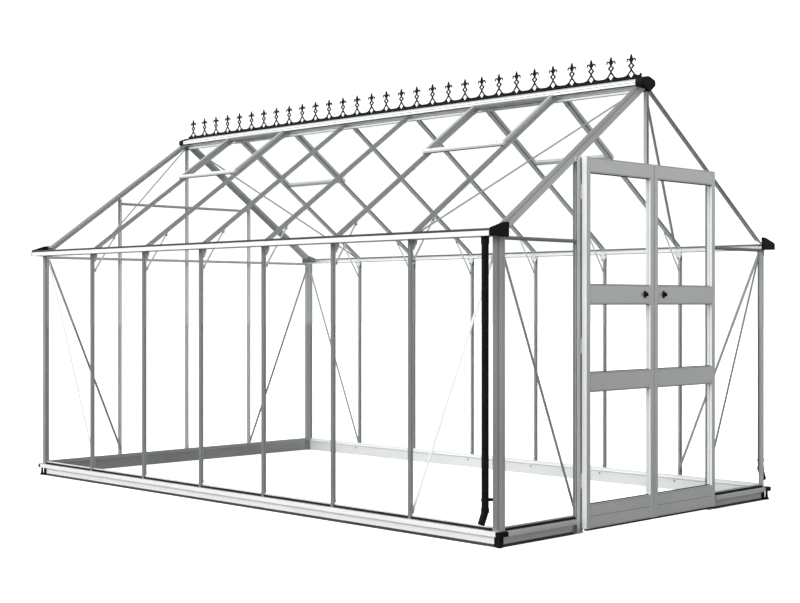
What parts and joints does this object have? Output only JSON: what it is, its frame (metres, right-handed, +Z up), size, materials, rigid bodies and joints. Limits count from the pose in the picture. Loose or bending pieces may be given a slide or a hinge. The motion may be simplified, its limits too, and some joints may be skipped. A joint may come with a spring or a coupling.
{
  "type": "glass greenhouse",
  "caption": "Aluminium-framed glass greenhouse with a pitched roof, hinged double doors, roof vents, gutters, downpipes and a black ridge cresting.",
  "frame": {"origin": "middle of the footprint at ground level: the centre of the bounding box's bottom face", "axes": "+Z up; the ridge runs along Y and the front gable with the doors faces -Y; +X to the right seen from the front"},
  "size_m": [2.7316, 4.496, 2.6788],
  "materials": {
    "aluminium": "mill-finish extrusion, fine lengthwise ribs, satin",
    "aluminium_light": "mill-finish extrusion, brighter, satin",
    "door_aluminium": "mill-finish extrusion, satin",
    "brace_strip": "plain flat strip, satin",
    "black_plastic": "black moulded plastic, slight sheen",
    "glass": "clear horticultural glass, 3 mm, faint green edge",
    "rubber_black": "black glazing gasket and door sweep",
    "steel_fixings": "zinc-plated nuts and screws"
  },
  "bodies": {
    "frame": {"base_left": "aluminium_light", "base_right": "aluminium_light", "base_front": "aluminium", "base_rear": "aluminium_light", "base_corners": "black_plastic", "corner_posts": "aluminium", "wall_bars_left": "aluminium", "wall_bars_right": "aluminium", "door_jambs": "door_aluminium", "door_header": "door_aluminium", "gable_bars_front": "aluminium", "gable_bars_rear": "aluminium", "gable_rails_rear": "aluminium", "gutter_left": "aluminium_light", "gutter_right": "aluminium_light", "roof_end_caps": "black_plastic", "downpipes": "black_plastic", "ridge_bar": "aluminium_light", "ridge_cresting": "black_plastic", "gable_rafters": "aluminium", "roof_bars_left": "aluminium", "roof_bars_right": "aluminium", "roof_vents_left": "aluminium_light", "roof_vents_right": "aluminium_light", "vent_glass": "glass", "wall_braces": "brace_strip", "roof_braces": "brace_strip", "knee_braces": "brace_strip", "wall_glass_left": "glass", "wall_glass_right": "glass", "wall_glass_front": "glass", "wall_glass_rear": "glass", "gable_glass_front": "glass", "gable_glass_rear": "glass", "roof_glass_left": "glass", "roof_glass_right": "glass", "door_hinges": "door_aluminium"},
    "door_left": {"door_left_stiles": "door_aluminium", "door_left_rails": "door_aluminium", "door_left_glass": "glass", "door_left_handle": "black_plastic"},
    "door_right": {"door_right_stiles": "door_aluminium", "door_right_rails": "door_aluminium", "door_right_glass": "glass", "door_right_handle": "black_plastic"}
  },
  "joints": [
    {"name": "door_left_hinge", "type": "hinge", "parent": "frame", "child": "door_left", "pos_m": [-0.6265, -2.183, 0], "axis": [0, 0, -1], "range_deg": [0, 95]},
    {"name": "door_right_hinge", "type": "hinge", "parent": "frame", "child": "door_right", "pos_m": [0.6265, -2.183, 0], "axis": [0, 0, 1], "range_deg": [0, 95]}
  ]
}
